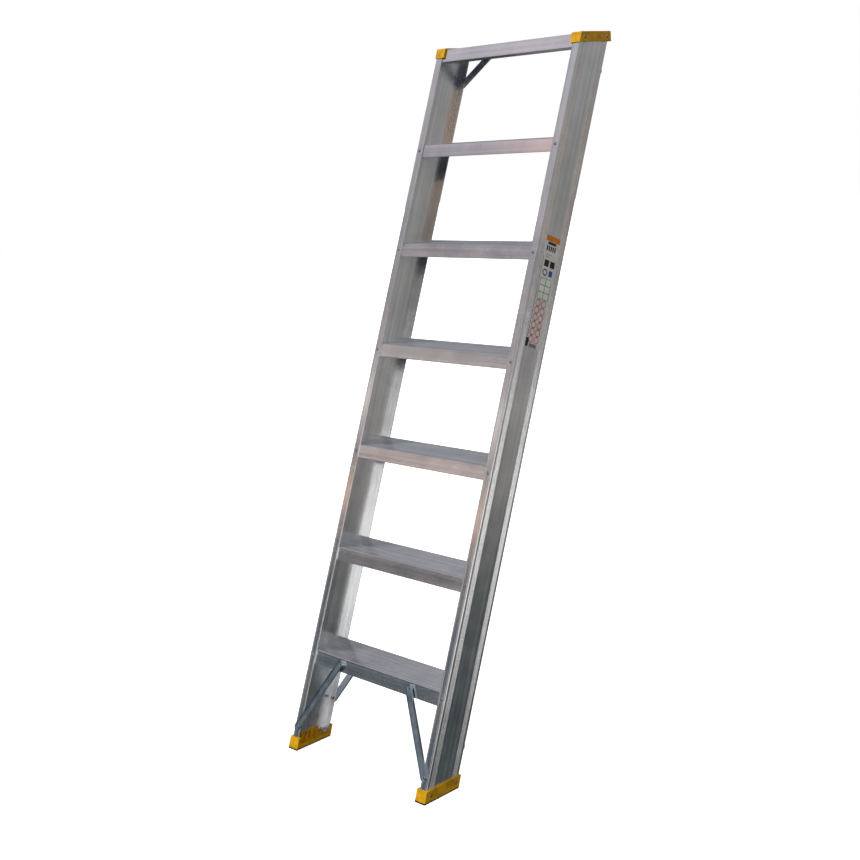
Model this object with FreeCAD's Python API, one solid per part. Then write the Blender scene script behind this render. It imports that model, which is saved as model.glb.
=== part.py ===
import FreeCAD, Part
import math
import os

from FreeCAD import Placement, Rotation, Vector

os.makedirs("parts", exist_ok=True)

# A single-section step ladder of riveted aluminium channel, standing at its working lean.
# Millimetres and degrees. +X is to the climber's right, +Y runs from the climber's side to
# the back, +Z is up. The origin is on the floor, under the middle of the ladder's plan.
#
# Two frames are used. The level frame is the row's frame, before the shift that centres it.
# The upright frame stands the stiles straight up: x is the same, y is the depth behind their
# front faces and z is the length along them. lean() takes a shape from the second to the first.

# Ladder
LEAN = 22.0
OUTER_WIDTH = 555.0
TREAD_RISE = 280.0
LOWER_TREADS = 6
FIRST_TREAD_TOP = 268.0
TOP_TREAD_TOP = 1941.0

# Stile channel, open towards the middle of the ladder
STILE_DEPTH = 112.0
FLANGE_WIDTH = 25.0
FLANGE_THICK = 3.0
WEB_THICK = 2.4
STILE_CORNER = 3.0
FLANGE_TIP_CORNER = 1.2
REED_BANDS = (8.0, 86.0)
REED_PITCH = 2.25
REEDS = 8
REED_GROOVE = 1.35
REED_DEPTH = 0.5
FACE_LINE_INSET = 4.5
FACE_LINE_WIDTH = 1.2
FACE_LINE_DEPTH = 0.4

# Tread: a folded-down channel between the stiles' flanges
TREAD_SKIRT = 36.0
TREAD_THICK = 2.2
TREAD_LIP = 8.0
TREAD_NOSE = 2.5
GRIP_PITCH = 6.0
GRIP_GROOVE = 1.5
GRIP_DEPTH = 0.5
GRIP_MARGIN = 9.0

# Rivets
SHANK_D = 5.0
HEAD_D = 11.0
HEAD_HIGH = 2.5
TAIL_D = 8.0
TAIL_LONG = 4.0
HOLE_CLEARANCE = 0.1
FLUSH_HEAD_THICK = 1.2
FLANGE_RIVET_INSET = 12.5
FRONT_RIVET_DROP = 15.0
REAR_RIVET_DROP = 20.0
SMALL_HEAD_D = 9.0
SMALL_HEAD_HIGH = 2.0

# Pressed steel braces: shallow trays with round ends, open away from the ladder
BRACE_WIDTH = 20.0
BRACE_DEEP = 7.0
BRACE_THICK = 1.6
BRACE_INSET = 15.5
FRONT_BRACE_FOOT_Z = 61.0
REAR_BRACE_FOOT_Z = 100.0
TOP_BRACE_FOOT_Z = 1839.0
FRONT_BRACE_HEAD_X = 141.0
REAR_BRACE_HEAD_X = 170.5

# Plastic feet with rubber soles
SOLE_THICK = 4.0
SOLE_GROOVE_PITCH = 12.0
SOLE_GROOVE_WIDTH = 3.0
SOLE_GROOVE_DEPTH = 1.5
FOOT_FLOOR_Z = 10.0
FOOT_TOP_Z = 33.0
FOOT_SIDE = 5.5
FOOT_END = 2.5
FOOT_WIDE_IN = 32.6
FOOT_POST = 7.0
FOOT_LIP_WIDE = 2.5
FOOT_LIP_HIGH = 2.5
FOOT_LINER_THICK = 4.0
FOOT_LINER_DEEP = 82.0
FOOT_LINER_TOP_Z = 31.0
FOOT_RIBS = 4
FOOT_RIB_FIRST = 27.0
FOOT_RIB_PITCH = 16.0
FOOT_RIB_THICK = 3.0
FOOT_RIB_OUT = 6.0
FOOT_RIVET_DEPTHS = (16.0, 102.0)
FOOT_RIVET_Z = 17.0
FOOT_RIVET_RECESS = 2.5
FOOT_RIVET_RECESS_D = 11.0

# Plastic caps
CAP_WALL = 2.5
CAP_BOTTOM_Z = 1917.4
CAP_PLATE = 3.4
CAP_RIDGE_HIGH = 1.0
CAP_RIDGE_WIDTH = 3.0
CAP_RIDGE_PITCH = 6.0
CAP_RIVET_Z = 1931.0
CAP_RIVET_SETBACKS = (16.0, 111.0)

# Label on the right stile
LABEL_THICK = 0.3
LABEL_WIDE = 58.0
LABEL_LONG = 310.0
LABEL_BOTTOM = 1230.0

# Worked out
COS = math.cos(math.radians(LEAN))
SIN = math.sin(math.radians(LEAN))
TAN = math.tan(math.radians(LEAN))
SIDE_X = OUTER_WIDTH / 2
INNER_X = SIDE_X - FOOT_WIDE_IN
TREAD_TOPS = [FIRST_TREAD_TOP + TREAD_RISE * i for i in range(LOWER_TREADS)] + [TOP_TREAD_TOP]
SKIRT_FRONT = FLANGE_THICK
SKIRT_REAR = STILE_DEPTH - FLANGE_THICK
LEVEL = Rotation()
SPAN = 4000.0


def level_y(z, depth):
    """Y, at height z, of the plane that lies depth behind the stiles' front faces."""
    return z * TAN + depth / COS


def along(z, depth):
    """Distance along the stile of the point at height z and the given depth."""
    return (z + depth * SIN) / COS


def lean(shape):
    """Tip a shape from the upright frame back to the ladder's working lean."""
    return shape.transformed(Placement(Vector(), Rotation(Vector(1, 0, 0), -LEAN)).toMatrix())


def box(x, y, z):
    """Box over three (low, high) ranges, which may be given either way round."""
    lows = [min(x), min(y), min(z)]
    sizes = [abs(x[1] - x[0]), abs(y[1] - y[0]), abs(z[1] - z[0])]
    return Part.makeBox(*sizes, Vector(*lows))


def outline(corners):
    """Closed face through (u, v, radius) corners, each rounded by its own radius."""
    points = [Vector(u, v, 0) for u, v, _ in corners]
    starts, ends, arcs = [], [], []
    for i, (_, _, radius) in enumerate(corners):
        here = points[i]
        if radius == 0:
            starts.append(here)
            ends.append(here)
            arcs.append(None)
            continue
        before = (points[i - 1] - here).normalize()
        after = (points[(i + 1) % len(points)] - here).normalize()
        half = before.getAngle(after) / 2
        start = here + before * (radius / math.tan(half))
        end = here + after * (radius / math.tan(half))
        centre = here + (before + after).normalize() * (radius / math.sin(half))
        middle = centre + (here - centre).normalize() * radius
        starts.append(start)
        ends.append(end)
        arcs.append(Part.Arc(start, middle, end).toShape())
    edges = []
    for i, arc in enumerate(arcs):
        if arc is not None:
            edges.append(arc)
        edges.append(Part.makeLine(ends[i], starts[(i + 1) % len(points)]))
    return Part.Face(Part.Wire(edges))


def side_prism(corners, x):
    """Solid with a (y, z, radius) outline, running across the ladder over the x range."""
    face = outline(corners)
    face.rotate(Vector(), Vector(0, 0, 1), 90)
    face.rotate(Vector(), Vector(0, 1, 0), 90)
    face.translate(Vector(min(x), 0, 0))
    return face.extrude(Vector(abs(x[1] - x[0]), 0, 0))


def leaning_slab(x, depth, z):
    """Solid between two depth planes that follow the stiles, cut level at the z range."""
    corners = [
        (level_y(z[0], depth[0]), z[0], 0),
        (level_y(z[0], depth[1]), z[0], 0),
        (level_y(z[1], depth[1]), z[1], 0),
        (level_y(z[1], depth[0]), z[1], 0),
    ]
    return side_prism(corners, x)


def fuse(shapes):
    """One tidy solid from touching pieces."""
    return shapes[0].multiFuse(shapes[1:]).removeSplitter()


def save(name, shape):
    """Write one node, shifted so that the ladder's plan is centred on the origin."""
    shape.translate(Vector(0, Y_SHIFT, 0))
    shape.exportStep("parts/" + name + ".step")


# Extents across the depth: the front of the feet on the floor, and the back of the caps.
FRONT_Y = level_y(0, -FOOT_END)
CAP_BACK_Y = level_y(TOP_TREAD_TOP, STILE_DEPTH) + CAP_WALL
Y_SHIFT = -(FRONT_Y + CAP_BACK_Y) / 2


# ---------------------------------------------------------------- rivets

def dome(diameter, height):
    """Low spherical rivet head, standing on z = 0."""
    radius = (diameter ** 2 / 4 + height ** 2) / (2 * height)
    ball = Part.makeSphere(radius, Vector(0, 0, height - radius))
    keep = Part.makeCylinder(diameter, height)
    return ball.common(keep)


def rivet(grip, head):
    """Blind rivet: head above z = 0, shank through the grip, swollen tail below it."""
    shank = Part.makeCylinder(SHANK_D / 2, grip + 1, Vector(0, 0, -grip - 0.5))
    tail = Part.makeCylinder(TAIL_D / 2, TAIL_LONG, Vector(0, 0, -grip - TAIL_LONG))
    rim = [edge for edge in tail.Edges if edge.BoundBox.ZMax < -grip - TAIL_LONG / 2]
    tail = tail.makeFillet(TAIL_D / 5, rim)
    return fuse([head, shank, tail])


def dome_rivet(grip):
    return rivet(grip, dome(HEAD_D, HEAD_HIGH))


def small_rivet(grip):
    return rivet(grip, dome(SMALL_HEAD_D, SMALL_HEAD_HIGH))


def flush_rivet(grip):
    """Rivet whose flat head is sunk level with the flange."""
    head = Part.makeCylinder(HEAD_D / 2, FLUSH_HEAD_THICK, Vector(0, 0, -FLUSH_HEAD_THICK))
    return rivet(grip, head)


def place(shape, point, outward):
    """Stand a shape that points along +Z on a point, so that it points outward."""
    turned = shape.copy()
    turned.Placement = Placement(point, Rotation(Vector(0, 0, 1), outward))
    return turned


def hole(point, axis):
    """Long drill of a rivet's hole size through a point."""
    radius = SHANK_D / 2 + HOLE_CLEARANCE
    start = point - axis * (SPAN / 400)
    return Part.makeCylinder(radius, SPAN / 200, start, axis)


FRONT_OUT = Vector(0, -1, 0)
REAR_OUT = Vector(0, 1, 0)


def flange_points(side, rear):
    """Upright-frame points on a flange's outer face where it is riveted to each tread."""
    depth = STILE_DEPTH if rear else 0.0
    drop = REAR_RIVET_DROP if rear else FRONT_RIVET_DROP
    x = side * (SIDE_X - FLANGE_RIVET_INSET)
    return [Vector(x, depth, along(top - drop, depth)) for top in TREAD_TOPS]


def side_points(side, z, y_list, x):
    """Level-frame points on a face that looks outwards along X."""
    return [Vector(side * x, y, z) for y in y_list]


FOOT_RIVET_YS = [level_y(FOOT_RIVET_Z, depth) for depth in FOOT_RIVET_DEPTHS]
CAP_RIVET_YS = [level_y(CAP_RIVET_Z, 0) + setback for setback in CAP_RIVET_SETBACKS]


# ---------------------------------------------------------------- braces

def brace_ends(side, kind):
    """Lower and upper rivet points of a brace, in the upright frame, on its outer plane."""
    foot_x = side * (SIDE_X - BRACE_INSET)
    if kind == "front":
        low = Vector(foot_x, 0, along(FRONT_BRACE_FOOT_Z, 0))
        top = along(FIRST_TREAD_TOP - FRONT_RIVET_DROP, SKIRT_FRONT)
        return low, Vector(side * FRONT_BRACE_HEAD_X, 0, top), FRONT_OUT
    foot_z = REAR_BRACE_FOOT_Z if kind == "rear" else TOP_BRACE_FOOT_Z
    tread_top = FIRST_TREAD_TOP if kind == "rear" else TOP_TREAD_TOP
    low = Vector(foot_x, STILE_DEPTH, along(foot_z, STILE_DEPTH))
    top = along(tread_top - REAR_RIVET_DROP, SKIRT_REAR)
    return low, Vector(side * REAR_BRACE_HEAD_X, STILE_DEPTH, top), REAR_OUT


def bar_with_round_ends(length, radius, low, high):
    """Solid stadium along +X between two end centres, over a height range."""
    middle = box((0, length), (-radius, radius), (low, high))
    rounds = [Part.makeCylinder(radius, high - low, Vector(x, 0, low)) for x in (0, length)]
    return fuse([middle] + rounds)


def brace(side, kind):
    """Tray-shaped brace whose far end is cupped down to meet the tread's skirt."""
    low, top, out = brace_ends(side, kind)
    length = (top - low).Length
    radius = BRACE_WIDTH / 2
    inner = radius - BRACE_THICK
    tray = bar_with_round_ends(length, radius, 0, BRACE_DEEP)
    tray = tray.cut(bar_with_round_ends(length, inner, BRACE_THICK, BRACE_DEEP + 1))
    cup = Part.makeCylinder(radius, FLANGE_THICK, Vector(length, 0, -FLANGE_THICK))
    hollow_from = BRACE_THICK - FLANGE_THICK
    hollow = Part.makeCylinder(inner, FLANGE_THICK + 1, Vector(length, 0, hollow_from))
    pressed = fuse([tray, cup]).cut(hollow)
    for x in (0, length):
        pressed = pressed.cut(hole(Vector(x, 0, 0), Vector(0, 0, 1)))
    pressed.Placement = Placement(low, Rotation(top - low, Vector(), out, "ZXY"))
    return lean(pressed)


def brace_rivets(side):
    """The six rivets of one side's braces."""
    rivets = []
    for kind in ("front", "rear", "top"):
        low, top, out = brace_ends(side, kind)
        low_face = low + out * BRACE_THICK
        top_face = top - out * (FLANGE_THICK - BRACE_THICK)
        rivets.append(place(dome_rivet(BRACE_THICK + FLANGE_THICK), low_face, out))
        rivets.append(place(dome_rivet(BRACE_THICK + TREAD_THICK), top_face, out))
    return lean(Part.makeCompound(rivets))


# ---------------------------------------------------------------- stiles

def notch(u, v, along_v, width, depth, inward):
    """Four corners of a shallow groove with sloped sides, for an extrusion's outline."""
    slope = depth / 2
    steps = ((0, 0), (slope, depth), (width - slope, depth), (width, 0))
    if along_v:
        return [(u + inward * sink, v + step, 0) for step, sink in steps]
    return [(u + step, v + inward * sink, 0) for step, sink in steps]


def stile_outline():
    """Right stile's section: x across, depth up, with reeded bands and lined flanges."""
    tip = SIDE_X - FLANGE_WIDTH
    lines = (tip + FACE_LINE_INSET, SIDE_X - FACE_LINE_INSET - FACE_LINE_WIDTH)
    corners = [(tip, 0, FLANGE_TIP_CORNER)]
    for x in lines:
        corners += notch(x, 0, False, FACE_LINE_WIDTH, FACE_LINE_DEPTH, 1)
    corners.append((SIDE_X, 0, STILE_CORNER))
    for band in REED_BANDS:
        for i in range(REEDS):
            corners += notch(SIDE_X, band + i * REED_PITCH, True, REED_GROOVE, REED_DEPTH, -1)
    corners.append((SIDE_X, STILE_DEPTH, STILE_CORNER))
    for x in reversed(lines):
        groove = notch(x, STILE_DEPTH, False, FACE_LINE_WIDTH, FACE_LINE_DEPTH, -1)
        corners += reversed(groove)
    corners.append((tip, STILE_DEPTH, FLANGE_TIP_CORNER))
    corners.append((tip, SKIRT_REAR, FLANGE_TIP_CORNER))
    corners.append((SIDE_X - WEB_THICK, SKIRT_REAR, 0))
    corners.append((SIDE_X - WEB_THICK, SKIRT_FRONT, 0))
    corners.append((tip, SKIRT_FRONT, FLANGE_TIP_CORNER))
    return corners


def stile(side):
    """One channel, cut level at both ends and drilled for its rivets."""
    section = outline(stile_outline())
    if side < 0:
        section = section.mirror(Vector(), Vector(1, 0, 0))
    section.translate(Vector(0, 0, -STILE_DEPTH))
    bar = section.extrude(Vector(0, 0, along(TOP_TREAD_TOP, STILE_DEPTH) + 2 * STILE_DEPTH))
    drills = [hole(point, FRONT_OUT) for point in flange_points(side, rear=False)]
    drills += [hole(point, REAR_OUT) for point in flange_points(side, rear=True)]
    for kind in ("front", "rear", "top"):
        low, _, out = brace_ends(side, kind)
        drills.append(hole(low, out))
    sink = Part.makeCylinder(HEAD_D / 2 + HOLE_CLEARANCE, 2 * FLUSH_HEAD_THICK)
    sink.translate(Vector(0, 0, -FLUSH_HEAD_THICK))
    drills.append(place(sink, flange_points(side, rear=False)[-1], FRONT_OUT))
    bar = lean(bar.cut(drills))
    across = [hole(point, Vector(1, 0, 0)) for point in
              side_points(side, FOOT_RIVET_Z, FOOT_RIVET_YS, SIDE_X)
              + side_points(side, CAP_RIVET_Z, CAP_RIVET_YS, SIDE_X)]
    keep = box((-SPAN, SPAN), (-SPAN, SPAN), (FOOT_FLOOR_Z, TOP_TREAD_TOP))
    return bar.common(keep).cut(across)


# ---------------------------------------------------------------- treads

def tread_outline(top):
    """Tread's section: leaning skirts with turned-in lips, and fine grip lines on top."""
    bottom = top - TREAD_SKIRT
    lip_top = bottom + TREAD_THICK
    under = top - TREAD_THICK
    front = level_y(top, SKIRT_FRONT)
    rear = level_y(top, SKIRT_REAR)
    corners = [(level_y(bottom, SKIRT_FRONT), bottom, 1.0), (front, top, TREAD_NOSE)]
    grooves = int((rear - front - 2 * GRIP_MARGIN) / GRIP_PITCH) + 1
    first = (front + rear - (grooves - 1) * GRIP_PITCH - GRIP_GROOVE) / 2
    for i in range(grooves):
        corners += notch(first + i * GRIP_PITCH, top, False, GRIP_GROOVE, GRIP_DEPTH, -1)
    corners.append((rear, top, TREAD_NOSE))
    corners.append((level_y(bottom, SKIRT_REAR), bottom, 1.0))
    corners.append((level_y(bottom, SKIRT_REAR) - TREAD_LIP, bottom, 0.6))
    corners.append((level_y(lip_top, SKIRT_REAR) - TREAD_LIP, lip_top, 0.6))
    corners.append((level_y(lip_top, SKIRT_REAR - TREAD_THICK), lip_top, 0.8))
    corners.append((level_y(under, SKIRT_REAR - TREAD_THICK), under, 1.0))
    corners.append((level_y(under, SKIRT_FRONT + TREAD_THICK), under, 1.0))
    corners.append((level_y(lip_top, SKIRT_FRONT + TREAD_THICK), lip_top, 0.8))
    corners.append((level_y(lip_top, SKIRT_FRONT) + TREAD_LIP, lip_top, 0.6))
    corners.append((level_y(bottom, SKIRT_FRONT) + TREAD_LIP, bottom, 0.6))
    return corners


def tread(index):
    """One tread, drilled for the flange rivets and for any brace that it takes."""
    half = SIDE_X - WEB_THICK
    blank = side_prism(tread_outline(TREAD_TOPS[index]), (-half, half))
    kinds = {0: ("front", "rear"), LOWER_TREADS: ("top",)}.get(index, ())
    drills = []
    for side in (-1, 1):
        drills.append(hole(flange_points(side, rear=False)[index], FRONT_OUT))
        drills.append(hole(flange_points(side, rear=True)[index], REAR_OUT))
        for kind in kinds:
            _, head, out = brace_ends(side, kind)
            drills.append(hole(head, out))
    return blank.cut([lean(drill) for drill in drills])


# ---------------------------------------------------------------- feet

def foot(side):
    """Boot round the stile's lower end: floor, three walls, inner posts and ribbed liner."""
    whole_x = (side * INNER_X, side * (SIDE_X + FOOT_SIDE))
    post_x = (side * INNER_X, side * (SIDE_X - FLANGE_WIDTH))
    liner_face = SIDE_X - WEB_THICK - FOOT_LINER_THICK
    ends = (-FOOT_END, STILE_DEPTH + FOOT_END)
    walls = (FOOT_FLOOR_Z, FOOT_TOP_Z)
    liner_z = (FOOT_FLOOR_Z, FOOT_LINER_TOP_Z)
    pieces = [
        leaning_slab(whole_x, ends, (SOLE_THICK, FOOT_FLOOR_Z)),
        leaning_slab((side * SIDE_X, whole_x[1]), ends, walls),
        leaning_slab(whole_x, (ends[0], 0), walls),
        leaning_slab(whole_x, (STILE_DEPTH, ends[1]), walls),
        leaning_slab(post_x, (ends[0], ends[0] + FOOT_POST), walls),
        leaning_slab(post_x, (ends[1] - FOOT_POST, ends[1]), walls),
        leaning_slab((whole_x[0], side * (INNER_X + FOOT_LIP_WIDE)), ends,
                     (FOOT_FLOOR_Z, FOOT_FLOOR_Z + FOOT_LIP_HIGH)),
        leaning_slab((side * liner_face, side * (SIDE_X - WEB_THICK)),
                     (FLANGE_THICK, FOOT_LINER_DEEP), liner_z),
    ]
    for i in range(FOOT_RIBS):
        depth = FOOT_RIB_FIRST + i * FOOT_RIB_PITCH
        rib_x = (side * (liner_face - FOOT_RIB_OUT), side * liner_face)
        pieces.append(leaning_slab(rib_x, (depth, depth + FOOT_RIB_THICK), liner_z))
    body = fuse(pieces)
    outward = Vector(side, 0, 0)
    for point in side_points(side, FOOT_RIVET_Z, FOOT_RIVET_YS, SIDE_X):
        recess_from = point + outward * (FOOT_SIDE - FOOT_RIVET_RECESS)
        recess = Part.makeCylinder(FOOT_RIVET_RECESS_D / 2, FOOT_SIDE, recess_from, outward)
        body = body.cut([hole(point, outward), recess])
    return body


def sole(side):
    """Rubber pad under a foot, grooved across on the side that meets the floor."""
    x = (side * INNER_X, side * (SIDE_X + FOOT_SIDE))
    ends = (-FOOT_END, STILE_DEPTH + FOOT_END)
    pad = leaning_slab(x, ends, (0, SOLE_THICK))
    low, high = level_y(0, ends[0]), level_y(0, ends[1])
    grooves = int((high - low) / SOLE_GROOVE_PITCH)
    first = (low + high - (grooves - 1) * SOLE_GROOVE_PITCH - SOLE_GROOVE_WIDTH) / 2
    for i in range(grooves):
        y = first + i * SOLE_GROOVE_PITCH
        pad = pad.cut(box(x, (y, y + SOLE_GROOVE_WIDTH), (-1, SOLE_GROOVE_DEPTH)))
    return pad


def foot_rivets(side):
    """Two rivets through the foot's side and the stile's web, with sunken heads."""
    outward = Vector(side, 0, 0)
    seat = FOOT_SIDE - FOOT_RIVET_RECESS
    grips = (seat + WEB_THICK + FOOT_LINER_THICK, seat + WEB_THICK)
    points = side_points(side, FOOT_RIVET_Z, FOOT_RIVET_YS, SIDE_X + seat)
    rivets = [place(small_rivet(grip), point, outward) for grip, point in zip(grips, points)]
    return Part.makeCompound(rivets)


# ---------------------------------------------------------------- caps

def cap(side):
    """Cover over a stile's top end: ridged top, outer side, front and upright back."""
    whole_x = (side * INNER_X, side * (SIDE_X + CAP_WALL))
    post_x = (side * INNER_X, side * (SIDE_X - FLANGE_WIDTH))
    walls = (CAP_BOTTOM_Z, TOP_TREAD_TOP)
    plate_z = (TOP_TREAD_TOP, TOP_TREAD_TOP + CAP_PLATE)
    back = (CAP_BACK_Y - CAP_WALL, CAP_BACK_Y)

    def to_back(x, z):
        corners = [(level_y(z[0], -CAP_WALL), z[0], 0), (CAP_BACK_Y, z[0], 0),
                   (CAP_BACK_Y, z[1], 0), (level_y(z[1], -CAP_WALL), z[1], 0)]
        return side_prism(corners, x)

    pieces = [
        to_back(whole_x, plate_z),
        to_back((side * SIDE_X, whole_x[1]), walls),
        leaning_slab(whole_x, (-CAP_WALL, 0), walls),
        leaning_slab(post_x, (-CAP_WALL, SKIRT_FRONT), walls),
        box(whole_x, back, walls),
    ]
    front = level_y(plate_z[1], -CAP_WALL)
    ridges = int((CAP_BACK_Y - front) / CAP_RIDGE_PITCH)
    first = (front + CAP_BACK_Y - (ridges - 1) * CAP_RIDGE_PITCH - CAP_RIDGE_WIDTH) / 2
    for i in range(ridges):
        y = first + i * CAP_RIDGE_PITCH
        ridge_z = (plate_z[1], plate_z[1] + CAP_RIDGE_HIGH)
        pieces.append(box(whole_x, (y, y + CAP_RIDGE_WIDTH), ridge_z))
    body = fuse(pieces)
    points = side_points(side, CAP_RIVET_Z, CAP_RIVET_YS, SIDE_X)
    return body.cut([hole(point, Vector(side, 0, 0)) for point in points])


def cap_rivets(side):
    """Two rivets through the cap's side and the stile's web."""
    points = side_points(side, CAP_RIVET_Z, CAP_RIVET_YS, SIDE_X + CAP_WALL)
    grip = CAP_WALL + WEB_THICK
    return Part.makeCompound([place(small_rivet(grip), p, Vector(side, 0, 0)) for p in points])


# ---------------------------------------------------------------- label and flange rivets

def label():
    """Thin printed film on the right stile's outer face, between the reeded bands."""
    depth = (STILE_DEPTH - LABEL_WIDE) / 2
    film = box((SIDE_X, SIDE_X + LABEL_THICK), (depth, depth + LABEL_WIDE),
               (LABEL_BOTTOM, LABEL_BOTTOM + LABEL_LONG))
    return lean(film)


def flange_rivets(side, rear):
    """One row of rivets from a stile's flange into the treads."""
    points = flange_points(side, rear)
    out = REAR_OUT if rear else FRONT_OUT
    grip = FLANGE_THICK + TREAD_THICK
    rivets = [place(dome_rivet(grip), point, out) for point in points]
    if not rear:
        # The cap's front wall covers the highest rivet, so its head is flush.
        rivets[-1] = place(flush_rivet(grip), points[-1], out)
    return lean(Part.makeCompound(rivets))


for side, word in ((-1, "left"), (1, "right")):
    save("stile_" + word, stile(side))
    save("foot_" + word, foot(side))
    save("foot_sole_" + word, sole(side))
    save("foot_rivets_" + word, foot_rivets(side))
    save("top_cap_" + word, cap(side))
    save("cap_rivets_" + word, cap_rivets(side))
    save("front_brace_" + word, brace(side, "front"))
    save("rear_brace_" + word, brace(side, "rear"))
    save("top_brace_" + word, brace(side, "top"))
    save("brace_rivets_" + word, brace_rivets(side))
    save("front_rivets_" + word, flange_rivets(side, rear=False))
    save("rear_rivets_" + word, flange_rivets(side, rear=True))
for index in range(len(TREAD_TOPS)):
    save("tread_" + str(index + 1), tread(index))
save("label_right", label())
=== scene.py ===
# %% [markdown]
# # A riveted aluminium step ladder
#
# This lesson dresses a finished CAD model of a leaning step ladder. The CAD parts come in as
# a fixed frame: they are never moved or reshaped. Pieces that need softer edges or finer
# detail are modelled here on top of them, and stand for the CAD parts that they cover.

# %% Load the frame and keep its box
import math

import bmesh
import bpy
from mathutils import Matrix, Vector


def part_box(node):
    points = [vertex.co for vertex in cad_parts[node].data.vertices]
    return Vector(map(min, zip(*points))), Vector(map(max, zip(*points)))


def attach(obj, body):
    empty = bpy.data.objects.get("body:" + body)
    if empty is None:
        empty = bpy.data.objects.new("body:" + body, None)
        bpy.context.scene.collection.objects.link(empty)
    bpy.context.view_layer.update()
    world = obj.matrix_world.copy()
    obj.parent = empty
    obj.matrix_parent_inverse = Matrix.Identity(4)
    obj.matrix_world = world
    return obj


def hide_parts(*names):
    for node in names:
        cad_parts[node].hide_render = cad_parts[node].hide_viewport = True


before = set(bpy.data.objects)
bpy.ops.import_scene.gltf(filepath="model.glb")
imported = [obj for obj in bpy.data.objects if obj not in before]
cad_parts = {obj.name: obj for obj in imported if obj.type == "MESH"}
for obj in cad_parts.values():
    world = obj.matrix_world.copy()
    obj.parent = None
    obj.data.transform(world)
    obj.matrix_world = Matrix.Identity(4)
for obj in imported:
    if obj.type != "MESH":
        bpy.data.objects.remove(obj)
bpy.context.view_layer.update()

# %% [markdown]
# The ladder leans back by 22 degrees and its treads stay level, so two frames help. In the
# upright frame a stile stands straight up: x is the same, y is the depth behind its front
# face and z is the length along it. Tipping a finished piece back by the lean puts it in
# place. The lean, and the point on the floor that it turns about, are worked out from the
# boxes of the CAD parts rather than typed in.

# %% Find the lean and the stiles' section
MM = 0.001
tops = [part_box(f"tread_{n}")[1][2] for n in range(1, 8)]
rears = [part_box(f"tread_{n}")[1][1] for n in range(1, 8)]
LEAN = math.atan2(rears[5] - rears[0], tops[5] - tops[0])
SIN, COS, TAN = math.sin(LEAN), math.cos(LEAN), math.tan(LEAN)
stile_low, stile_high = (Vector(c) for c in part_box("stile_right"))
SIDE = stile_high.x
FRONT_Y = stile_low.y - stile_low.z * TAN
DEPTH = (stile_high.y - FRONT_Y - stile_high.z * TAN) * COS
print("lean", round(math.degrees(LEAN), 3), "half width", SIDE, "stile depth", round(DEPTH, 5))


def level_y(z, depth):
    """Y, at height z, of the plane that lies depth behind the stiles' front faces."""
    return FRONT_Y + z * TAN + depth / COS


def along(z, depth):
    """Distance along the stile of the point at height z and the given depth."""
    return (z + depth * SIN) / COS


LEAN_BACK = Matrix.Translation((0, FRONT_Y, 0)) @ Matrix.Rotation(-LEAN, 4, "X")

# %% [markdown]
# The camera stands to the front right of the ladder at head height and looks slightly down
# at it. Its three axes are worked out from a heading, a downward pitch and a small roll.

# %% Set the camera
HEADING, PITCH, ROLL = math.radians(-46.61), math.radians(-11.06), math.radians(-4.07)
STANDS_AT = (2.7778, -2.6911, 1.722)
LENS_MM, SENSOR_MM, SHIFT_UP = 58.49, 36, -0.0349
forward = Vector((math.sin(HEADING) * math.cos(PITCH),
                  math.cos(HEADING) * math.cos(PITCH), math.sin(PITCH)))
level = Vector((math.cos(HEADING), -math.sin(HEADING), 0))
upward = level.cross(forward)
right = level * math.cos(ROLL) + upward * math.sin(ROLL)
upward = upward * math.cos(ROLL) - level * math.sin(ROLL)
camera_data = bpy.data.cameras.new("camera")
camera_data.lens, camera_data.sensor_width = LENS_MM, SENSOR_MM
camera_data.shift_y = SHIFT_UP
camera = bpy.data.objects.new("camera", camera_data)
bpy.context.scene.collection.objects.link(camera)
camera.matrix_world = Matrix((right, upward, -forward)).transposed().to_4x4()
camera.location = STANDS_AT
bpy.context.scene.camera = camera
print("camera at", tuple(round(c, 3) for c in camera.location))

# %% [markdown]
# Bare aluminium has almost no colour of its own: what it shows is the room. So the room is
# made with care. The world has four sides, back, left, right and front, and each has its own
# brightness over height. The levels were tuned until the metal looked like the real
# ladder's, so some bands are narrow and this is not a plain, even light. A broad white panel
# stands to the front right. The camera itself sees plain white behind the ladder.

# %% A helper that adds one node
def srgb(code):
    """Linear RGBA colour from an sRGB hex code."""
    parts = [int(code[i:i + 2], 16) / 255 for i in (0, 2, 4)]
    return (*(c / 12.92 if c <= 0.04045 else ((c + 0.055) / 1.055) ** 2.4 for c in parts), 1)


def node(tree, kind, inputs=None, stops=None, **settings):
    """Adds a node with its settings. An input is a value, or the output socket to link from."""
    made = tree.nodes.new(kind)
    for name, value in settings.items():
        setattr(made, name, value)
    for name, value in (inputs or {}).items():
        if isinstance(value, bpy.types.NodeSocket):
            tree.links.new(value, made.inputs[name])
        else:
            made.inputs[name].default_value = value
    for at, (position, colour) in enumerate(stops or []):
        ramp = made.color_ramp.elements
        stop = ramp[at] if at < 2 else ramp.new(position)
        stop.position, stop.color = position, colour
    return made


# %% Directions and heights
def toward(heading, height):
    """Unit vector to a heading, from +Y towards +X, and a height above the horizon, in degrees."""
    a, e = math.radians(heading), math.radians(height)
    return Vector((math.sin(a) * math.cos(e), math.cos(a) * math.cos(e), math.sin(e)))


def height_stops(table):
    """Ramp stops over the sine of the height above the horizon, from -90 to 90 degrees."""
    return [((math.sin(math.radians(height)) + 1) / 2, (*colour, 1)) for height, colour in table]


print("straight in front is", tuple(round(c, 3) for c in toward(180, 0)))

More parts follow.
